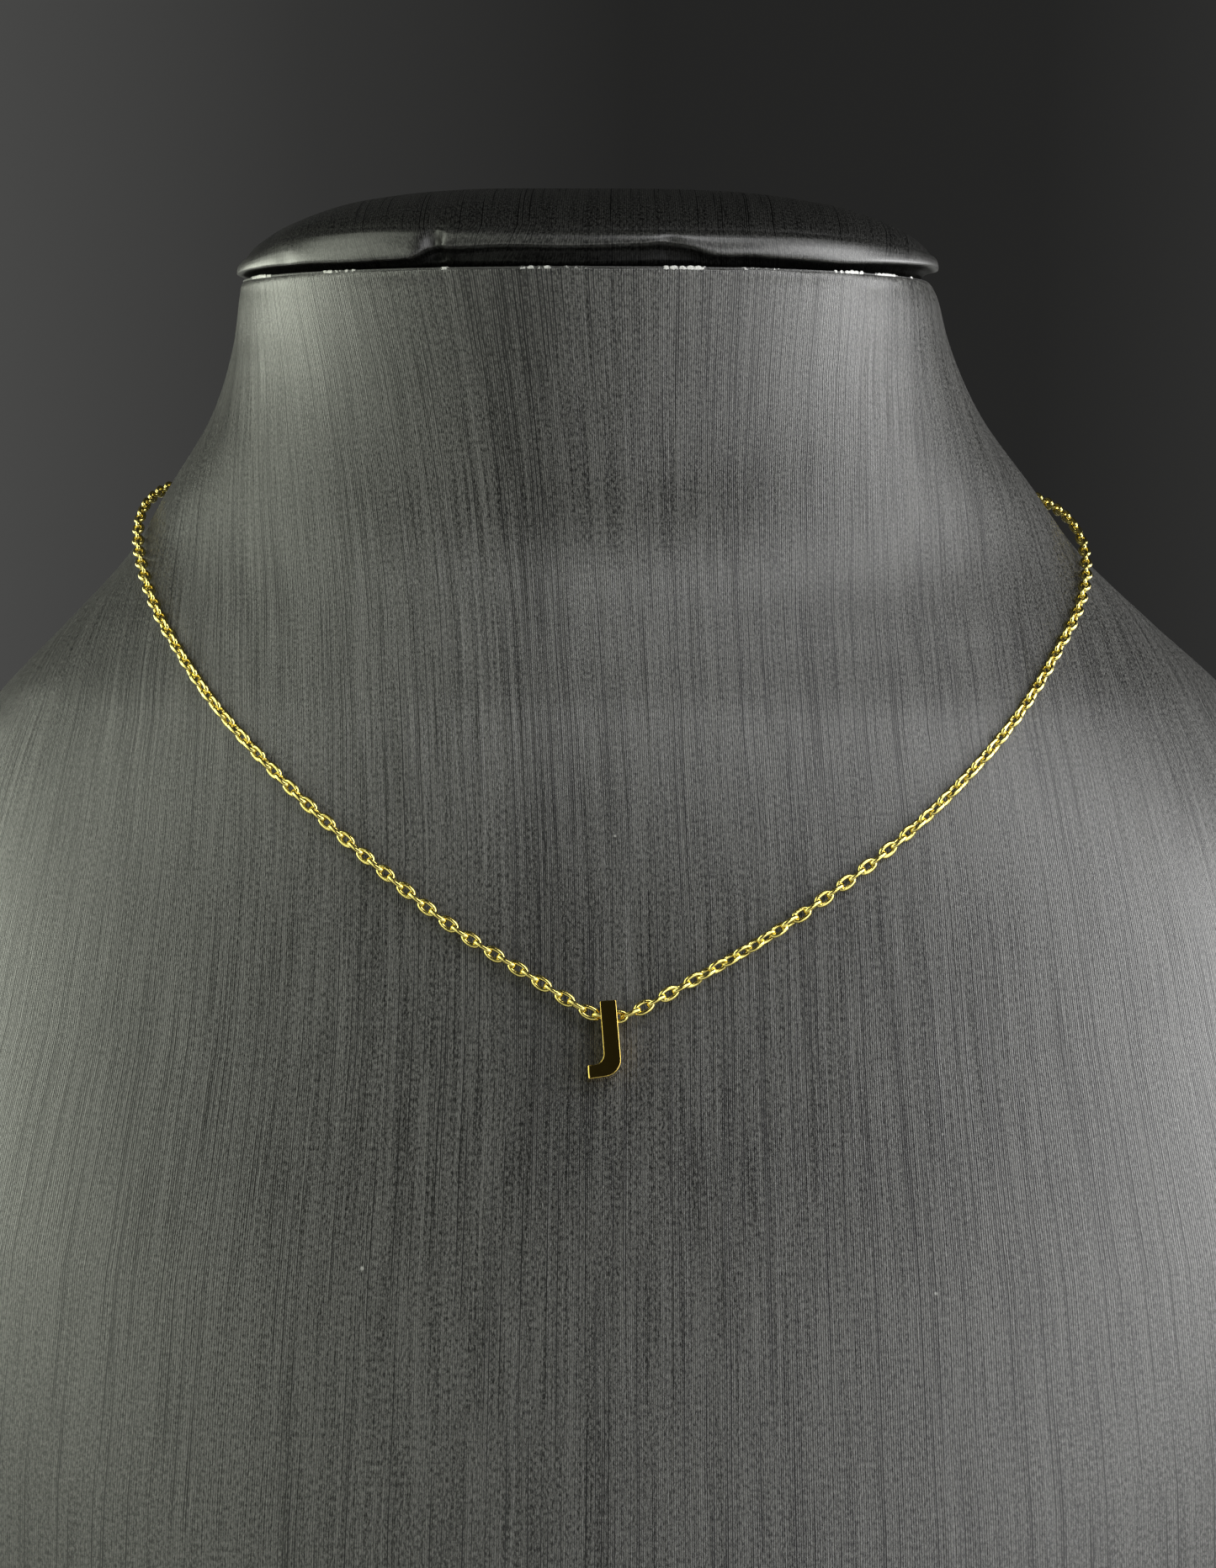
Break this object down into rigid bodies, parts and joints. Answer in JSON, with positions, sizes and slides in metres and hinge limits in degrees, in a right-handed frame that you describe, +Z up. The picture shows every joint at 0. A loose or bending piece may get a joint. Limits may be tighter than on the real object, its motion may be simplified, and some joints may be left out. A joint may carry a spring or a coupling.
{
  "type": "initial pendant necklace on a neck bust",
  "caption": "Small solid letter J pendant with a drilled stem on a fine gold oval cable chain, worn on a charcoal ribbed-leatherette neck bust with a domed cap.",
  "frame": {"origin": "centre of the bounding box at the base that the bust stands on", "axes": "+X across the shoulders toward the viewer's right, -Y out of the chest toward the viewer, +Z up out of the neck"},
  "size_m": [0.2042, 0.1447, 0.1834],
  "materials": {
    "bust_leatherette": "charcoal ribbed leatherette, satin",
    "cap_leatherette": "near-black ribbed leatherette, satin",
    "chain_gold": "gold-plated, bright",
    "letter_gold": "gold-plated, mirror polished"
  },
  "bodies": {
    "root": {"neck_bust": "bust_leatherette", "neck_cap": "cap_leatherette", "cable_chain": "chain_gold", "initial_letter": "letter_gold", "clasp": "chain_gold"}
  },
  "joints": []
}
